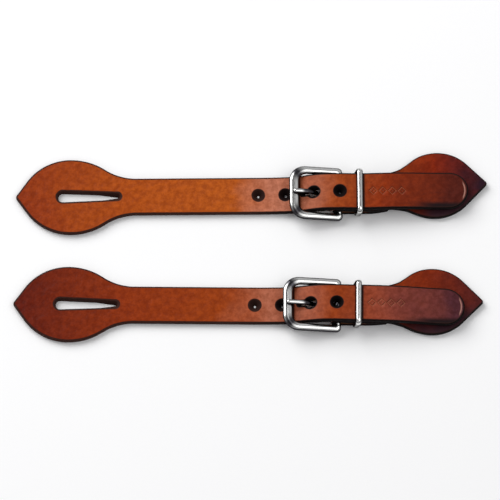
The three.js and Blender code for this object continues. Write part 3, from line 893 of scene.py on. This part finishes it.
def fastenings(strap, place, material):
    """Two copper rivets through the folded strap, each with its burr below."""
    shank, head, seat = RIVET["shank"], RIVET["head"], RIVET["seat"]
    rivet = [(0.05, 0.15), (1.2, 0.15), (shank, 0.4), (shank, seat), (3.05, seat), (head, seat + 0.15),
             (3.2, seat + 0.42), (2.4, seat + 0.85), (1.2, seat + 1.07), (0.05, seat + 1.1)]
    burr = [(1.62, 0.2), (2.9, 0.15), (3.2, 0.3), (3.15, 0.7), (2.6, 0.85), (1.62, 0.85)]
    for side, y in (("left", RIVET["y"]), ("right", -RIVET["y"])):
        for part, profile, closed in (("rivet", rivet, False), ("burr", burr, True)):
            points, faces = lathed((RIVET["x"], y, 0), profile, closed)
            name = f"{strap['name']}_{side}_{part}"
            piece = make_piece(f"{name}_metal", points, faces, place, material)
            paint_metal_shade(piece)
            stand_in(piece, f"{strap['name']}_chape", name)


# ------------------------------------------------------------------ materials


def tone(red, green, blue):
    """An sRGB colour, 0 to 255, as the linear colour that Blender uses."""
    def linear(value):
        value /= 255
        return value / 12.92 if value <= 0.04045 else ((value + 0.055) / 1.055) ** 2.4
    return (linear(red), linear(green), linear(blue), 1.0)


class Shader:
    """The nodes of a material or a world, with short calls for the kinds used here."""

    def __init__(self, owner, surface="Principled BSDF"):
        owner.use_nodes = True
        self.owner = owner
        self.tree = owner.node_tree
        self.surface = self.tree.nodes[surface]

    def feed(self, socket, value):
        """Links an output to a socket, or sets the socket to a plain value."""
        if isinstance(value, bpy.types.NodeSocket):
            self.tree.links.new(value, socket)
        else:
            socket.default_value = value

    def node(self, kind, inputs=None, **settings):
        made = self.tree.nodes.new(kind)
        for name, value in settings.items():
            setattr(made, name, value)
        for name, value in (inputs or {}).items():
            self.feed(made.inputs[name], value)
        return made

    def finished(self, inputs):
        """The material or world, with the inputs of its surface linked or set."""
        for name, value in inputs.items():
            self.feed(self.surface.inputs[name], value)
        return self.owner

    def attribute(self, name, output="Fac"):
        return self.node("ShaderNodeAttribute", attribute_name=name).outputs[output]

    def coordinates(self, kind="Object"):
        return self.node("ShaderNodeTexCoord").outputs[kind]

    def split(self, vector):
        return self.node("ShaderNodeSeparateXYZ", {0: vector}).outputs

    def vector(self, operation, a, b):
        return self.node("ShaderNodeVectorMath", {0: a, 1: b}, operation=operation).outputs[0]

    def math(self, operation, a, b=0.0, clamp=False):
        return self.node("ShaderNodeMath", {0: a, 1: b}, operation=operation, use_clamp=clamp).outputs[0]

    def distance(self, a, b):
        """How far two numbers are apart."""
        return self.math("ABSOLUTE", self.math("SUBTRACT", a, b))

    def ranged(self, value, low, high, new_low=0.0, new_high=1.0, smooth=True):
        """A value between low and high, as a value between new_low and new_high."""
        inputs = {
            "Value": value, "From Min": low, "From Max": high, "To Min": new_low, "To Max": new_high}
        steps = "SMOOTHSTEP" if smooth else "LINEAR"
        return self.node("ShaderNodeMapRange", inputs, interpolation_type=steps).outputs["Result"]

    def noise(self, vector, scale, detail=2.0, roughness=0.5):
        inputs = {"Vector": vector, "Scale": scale, "Detail": detail, "Roughness": roughness}
        return self.node("ShaderNodeTexNoise", inputs).outputs["Fac"]

    def cells(self, vector, scale):
        inputs = {"Vector": vector, "Scale": scale}
        return self.node("ShaderNodeTexVoronoi", inputs, feature="SMOOTH_F1").outputs["Distance"]

    def mixed(self, share, a, b, blend="MIX"):
        inputs = {"Factor": share, 6: a, 7: b}
        return self.node("ShaderNodeMix", inputs, data_type="RGBA", blend_type=blend).outputs[2]

    def tinted(self, colour, other, value, low, high, most=1.0):
        """A colour that turns to another as a value goes from low to high."""
        return self.mixed(self.ranged(value, low, high, 0.0, most), colour, other)

    def ramp(self, value, stops):
        made = self.node("ShaderNodeValToRGB", {0: value})
        elements = made.color_ramp.elements
        while len(elements) < len(stops):
            elements.new(0.5)
        for element, (position, colour) in zip(elements, stops):
            element.position = position
            element.color = colour
        return made.outputs["Color"]

    def bump(self, height, distance, strength=1.0, below=None):
        inputs = {"Height": height, "Distance": distance, "Strength": strength}
        if below is not None:
            inputs["Normal"] = below
        return self.node("ShaderNodeBump", inputs).outputs["Normal"]


def grain_side(shader, place, along, mottle, tones):
    """The colour of the oiled side: stops along the strap, wandering a little, with mottle, streaks and
    specks."""
    low, high = tones[0][0], tones[-1][0]
    cloud = shader.noise(place, 0.05, 3.0, 0.55)
    speck = shader.noise(place, 1.1, 3.0, 0.6)
    streak = shader.noise(shader.vector("MULTIPLY", place, (0.07, 1.1, 1.0)), 0.6, 3.0)
    wandering = shader.math("ADD", along, shader.ranged(cloud, 0.3, 0.7, -7.0, 7.0, False))
    share = shader.ranged(wandering, low, high, smooth=False)
    grain = shader.ramp(share, [((x - low) / (high - low), tone(*colour)) for x, colour in tones])
    lighter = shader.mixed(1.0, grain, (1.22, 1.3, 1.4, 1), "MULTIPLY")
    darker = shader.mixed(1.0, grain, (0.8, 0.74, 0.7, 1), "MULTIPLY")
    grain = shader.tinted(darker, lighter, mottle, 0.3, 0.7)
    grain = shader.tinted(grain, darker, streak, 0.35, 0.75, 0.2)
    grain = shader.tinted(grain, darker, speck, 0.5, 0.72, 0.55)
    return shader.tinted(grain, lighter, speck, 0.46, 0.26, 0.5), wandering


def tooled_end(shader, colour, row, along, across, tip):
    """The billet's end: painted highlights along the tooled lines and the crease, and painted shade at its
    near edge.
    """
    # Painted highlights along the tooled lines and the crease.
    colour = shader.tinted(colour, LINE_HIGHLIGHT, row, 1.0, 0.0, 0.22)
    colour = shader.tinted(colour, CREASE_HIGHLIGHT, tip_crease(shader, along, across, tip), 1.0, 0.0, 0.55)
    # Painted shade along the near edge, towards the end.
    near_edge = shader.ranged(shader.math("SUBTRACT", across, tip[1]), -5.6, -8.2)
    to_end = shader.ranged(along, tip[0] - 26, tip[0] - 6)
    return shader.mixed(shader.math("MULTIPLY", near_edge, to_end), colour, NEAR_EDGE_SHADE)


def leather_material(name, tones, near_shade_from=None, rub_and_shadow_marks=(), tip=None, offset=0.0):
    """Oiled russet leather. tones are (place along the strap, colour) pairs. The next argument is the place
    along the strap where the near side turns to a painted shade; the one after it lists (place, half length)
    pairs where metal meets the leather, painted dark as rub marks and as the metal's shadow. tip is the
    middle of the billet's end, and adds a row of tooled diamonds and a crease round that end, with painted
    highlights along them and a painted shade at its near edge."""
    shader = Shader(bpy.data.materials.new(name))
    plan = shader.attribute("plan", "Vector")
    along, across, height = shader.split(plan)
    place = shader.vector("ADD", plan, (offset, offset, offset))
    mottle = shader.noise(place, 0.33, 4.0, 0.6)
    colour, wandering = grain_side(shader, place, along, mottle, tones)
    if tip is not None:
        row = stamped_row(shader, along, across)
        colour = tooled_end(shader, colour, row, along, across, tip)
    # Painted shade on the near side, towards the leaf's point.
    if near_shade_from is not None:
        right = shader.ranged(wandering, near_shade_from - 14, near_shade_from + 12)
        near = shader.ranged(across, 2.0, -7.0)
        colour = shader.mixed(shader.math("MULTIPLY", right, near), colour, NEAR_SIDE_SHADE)

    fibres = shader.noise(shader.vector("MULTIPLY", place, (0.5, 1.0, 1.0)), 2.2, 5.0, 0.65)
    below = shader.ranged(height, 0.5, 0.15)
    colour = shader.mixed(below, colour, shader.mixed(fibres, *FLESH_SIDE))
    dark = shader.attribute("dark")
    worn = shader.math("ADD", dark, shader.ranged(mottle, 0.3, 0.7, -0.12, 0.12), True)
    colour = shader.tinted(colour, shader.mixed(mottle, *BURNISHED), worn, 0.15, 0.7)
    # Rub marks and painted shadow: dark bands where the rung and the keeper meet the leather.
    for middle, half in rub_and_shadow_marks:
        colour = shader.tinted(colour, RUB_AND_SHADOW, shader.distance(along, middle), half, half - 0.7, 0.9)
    # The cut walls: dark dye that deepens to painted shade towards the buckle.
    wall = shader.ranged(dark, 0.8, 1.0)
    colour = shader.mixed(wall, colour, shader.tinted(*WALLS_AND_SHADE, along, -60.0, -20.0))
    gloss = shader.ranged(mottle, 0.3, 0.7, 0.33, 0.42, False)
    rough = shader.mixed(shader.math("MAXIMUM", below, wall), gloss, (0.85, 0.85, 0.85, 1))

    normal = shader.bump(shader.noise(place, 0.16, 2.0), 0.35 * MM)
    normal = shader.bump(mottle, 0.16 * MM, 0.8, normal)
    normal = shader.bump(shader.cells(place, 1.3), 0.09 * MM, 0.8, normal)
    normal = shader.bump(fibres, 0.05 * MM, 0.5, normal)
    if tip is not None:
        normal = shader.bump(row, 0.3 * MM, 1.0, normal)
    return shader.finished(
        {"Base Color": colour, "Roughness": rough, "Specular IOR Level": 0.1, "Normal": normal})


def stamped_row(shader, along, across):
    """The height of a row of small tooled diamonds, each a pressed outline with a seed in it."""
    pitch = STAMP["pitch"]
    steps = shader.math("DIVIDE", shader.math("SUBTRACT", along, STAMP["start"]), pitch)
    sideways = shader.math("MULTIPLY", shader.distance(shader.math("FRACT", steps), 0.5), pitch)
    reach = shader.math("ADD", sideways, shader.math("ABSOLUTE", across))
    outline = shader.ranged(shader.distance(reach, STAMP["size"]), 0.0, STAMP["line"])
    pressed = shader.math("MINIMUM", outline, shader.ranged(reach, 0.2, 0.55))
    before = shader.math("LESS_THAN", along, STAMP["start"])
    after = shader.math("GREATER_THAN", along, STAMP["start"] + STAMP["count"] * pitch)
    return shader.math("MAXIMUM", pressed, shader.math("MAXIMUM", before, after))


def tip_crease(shader, along, across, tip):
    """The height of a creased line inside the billet's rounded end."""
    forward = shader.math("SUBTRACT", along, tip[0])
    sideways = shader.math("SUBTRACT", across, tip[1])
    squares = shader.math("ADD", shader.math("POWER", forward, 2.0), shader.math("POWER", sideways, 2.0))
    off_line = shader.distance(shader.math("SQRT", squares), CREASE["radius"])
    before = shader.ranged(forward, CREASE["full"], CREASE["start"])
    return shader.math("MAXIMUM", shader.ranged(off_line, 0.1, CREASE["line"]), before)


def metal_material(name, colour, tarnish, shadowed, rough):
    """Plated metal with fine rub marks and a little tarnish, and painted shade, the shadowed colour, mixed in
    where the side attribute is high.
    """
    shader = Shader(bpy.data.materials.new(name))
    place = shader.coordinates()
    stain = shader.noise(place, 260.0, 3.0)
    rub = shader.noise(shader.vector("MULTIPLY", place, (1.0, 0.22, 1.0)), 2600.0, 2.0)
    colour = shader.tinted(colour, tarnish, stain, 0.5, 0.78, 0.45)
    stained = shader.ranged(stain, 0.3, 0.8, rough, rough + 0.1)
    return shader.finished({
        # Painted shade: the shadowed colour where the side attribute is high.
        "Base Color": shader.mixed(shader.attribute("side"), colour, shadowed),
        "Metallic": 1.0,
        "Specular Tint": (0.06, 0.06, 0.065, 1),
        "Roughness": shader.math("ADD", stained, shader.ranged(rub, 0.4, 0.8, 0.0, 0.06)),
        "Normal": shader.bump(rub, 0.01 * MM, 0.3),
    })


# Russet leather, as (place along the strap, colour) stops. Each long strap starts redder at its leaf, pales
# where it bends up to the buckle, which is a painted sheen, and darkens towards its free end, partly darker
# leather and partly painted shade; the front billet's bluish last stops are partly a painted sheen as well.
# The short straps' places are along the leather, from its folded tail to its leaf's point, and their
# darkening towards the point is partly painted shade. The front strap is the darker of the two.
LONG_TONES = {
    "back": (
        (LONG_POINT_X, (138, 48, 8)), (-110, (165, 72, 12)), (-55, (172, 80, 18)), (-35, (180, 108, 80)),
        (0, (150, 64, 20)), (25, (135, 45, 8)), (60, (80, 25, 14))),
    "front": (
        (LONG_POINT_X, (92, 20, 4)), (-110, (136, 46, 4)), (-60, (148, 58, 8)), (-35, (168, 95, 68)),
        (0, (142, 55, 12)), (25, (138, 62, 42)), (60, (76, 34, 40))),
}
SHORT_TONES = {
    "back": ((60, (135, 48, 8)), (85, (125, 32, 2)), (112, (38, 14, 26))),
    "front": ((60, (130, 45, 4)), (85, (122, 36, 4)), (112, (60, 20, 24))),
}
FLESH_SIDE = (tone(104, 62, 38), tone(158, 106, 70))
BURNISHED = (tone(30, 14, 12), tone(52, 26, 20))
WALLS_AND_SHADE = (tone(58, 34, 28), tone(15, 8, 8))  # of the cut walls and holes, from the buttonhole to the buckle: dark dye, turning near the buckle to painted shade
# Rub marks and the painted shadow of the rung and the keeper on the leather
RUB_AND_SHADOW = tone(26, 12, 12)
# Painted shade on the short strap's near side, towards its leaf
NEAR_SIDE_SHADE = tone(54, 28, 36)
# Painted shade at the near edge of the billet's end
NEAR_EDGE_SHADE = tone(28, 14, 16)
# Painted highlights along the tooled lines and the crease of the billet's end
LINE_HIGHLIGHT = tone(200, 130, 100)
CREASE_HIGHLIGHT = tone(200, 145, 128)


# ------------------------------------------------------------------ the scene


def build_straps():
    """All the pieces of both straps, with their materials."""
    # The third colour of each metal is its painted shade.
    nickel = metal_material(
        "nickel_plate", tone(236, 236, 234), tone(206, 203, 198), tone(72, 70, 74), 0.1)
    copper = metal_material("rivet_copper", tone(205, 132, 96), tone(120, 74, 52), tone(90, 54, 38), 0.28)
    keeper_top = KEEPER["x"] + KEEPER["half_height"] * math.sin(KEEPER_LEAN)
    keeper_mark = (keeper_top, KEEPER["band"] / 2 + 1.1)
    for i, strap in enumerate(STRAPS):
        name = strap["name"]
        place = strap_place(name)
        tones = LONG_TONES[name]
        shift = 400.0 * i  # so that no two straps have the same grain
        # Dark bands beside the rung and the keeper: rub marks and painted shadow.
        marks = ((strap["rung_x"] + RUNG_MARK, 1.4), keeper_mark)
        long_leather = leather_material(f"{name}_leather", tones, rub_and_shadow_marks=marks, offset=shift)
        end_leather = leather_material(
            f"{name}_end_leather", tones, rub_and_shadow_marks=marks[1:], tip=end_middle(strap), offset=shift)
        short_leather = leather_material(
            f"{name}_short_leather", SHORT_TONES[name], near_shade_from=76, offset=shift + 150)
        long_strap(strap, place, long_leather)
        billet(strap, place, end_leather)
        short_strap(strap, place, short_leather)
        for build in (buckle_frame, buckle_tongue, keeper):
            build(strap, place, nickel)
        fastenings(strap, place, copper)


def build_floor():
    """A plain floor of pale paper, far wider than any view of the straps."""
    shader = Shader(bpy.data.materials.new("floor_paper"))
    shade = shader.noise(shader.coordinates(), 900.0, 2.0)
    colour = shader.mixed(shade, tone(252, 252, 252), tone(254, 254, 254))
    paper = shader.finished({"Base Color": colour, "Roughness": 0.9, "Specular IOR Level": 0.1})
    half = 6.0
    corners = [(-half, -half, 0), (half, -half, 0), (half, half, 0), (-half, half, 0)]
    mesh = bpy.data.meshes.new("floor")
    mesh.from_pydata(corners, [], [(0, 1, 2, 3)])
    mesh.materials.append(paper)
    add_object("floor", mesh)


def softbox(name, direction, distance, size, power):
    """A square soft light that faces the straps."""
    light = bpy.data.lights.new(name, "AREA")
    light.shape = "SQUARE"
    light.size = size
    light.energy = power
    aim(add_object(name, light), Vector(direction).normalized(), distance)


def aim(seat, away, distance, target=(0, 0, 0)):
    """Puts a light or camera at a distance from a target, and turns it to face that."""
    seat.location = Vector(target) + away * distance
    seat.rotation_mode = "QUATERNION"
    seat.rotation_quaternion = away.to_track_quat("Z", "Y")


def build_lights():
    """A large soft light from behind on the left, a weaker one from the front on the right, and a pale room
    that is darker towards the floor and straight above."""
    softbox("key", (-0.5, 0.54, 0.68), 1.8, 1.4, 27.5)
    softbox("fill", (0.42, -0.1, 0.9), 1.8, 1.2, 6.5)
    world = Shader(bpy.data.worlds.new("studio"), "Background")
    stops = ((0.04, 0.03), (0.5, 0.52), (0.75, 0.48), (0.93, 0.16))
    height = world.split(world.coordinates("Generated"))[2]
    room = world.ramp(height, [(place, (level, level, 1.02 * level, 1)) for place, level in stops])
    bpy.context.scene.world = world.finished({"Color": room, "Strength": 1.0})


def build_camera():
    """A long lens, as in the photograph of the pair: from the front, high above the floor."""
    elevation, lens, view_width = math.radians(73), 500.0, 0.265
    camera = bpy.data.cameras.new("camera")
    camera.lens = lens
    camera.sensor_width = 36.0
    camera.clip_end = 100.0
    back = Vector((0, -math.cos(elevation), math.sin(elevation)))
    seat = add_object("camera", camera)
    aim(seat, back, view_width * lens / camera.sensor_width, Vector((-0.3, -0.9, 0)) * MM)
    bpy.context.scene.camera = seat


build_straps()
build_floor()
build_lights()
build_camera()
bpy.context.scene.view_settings.view_transform = "Standard"
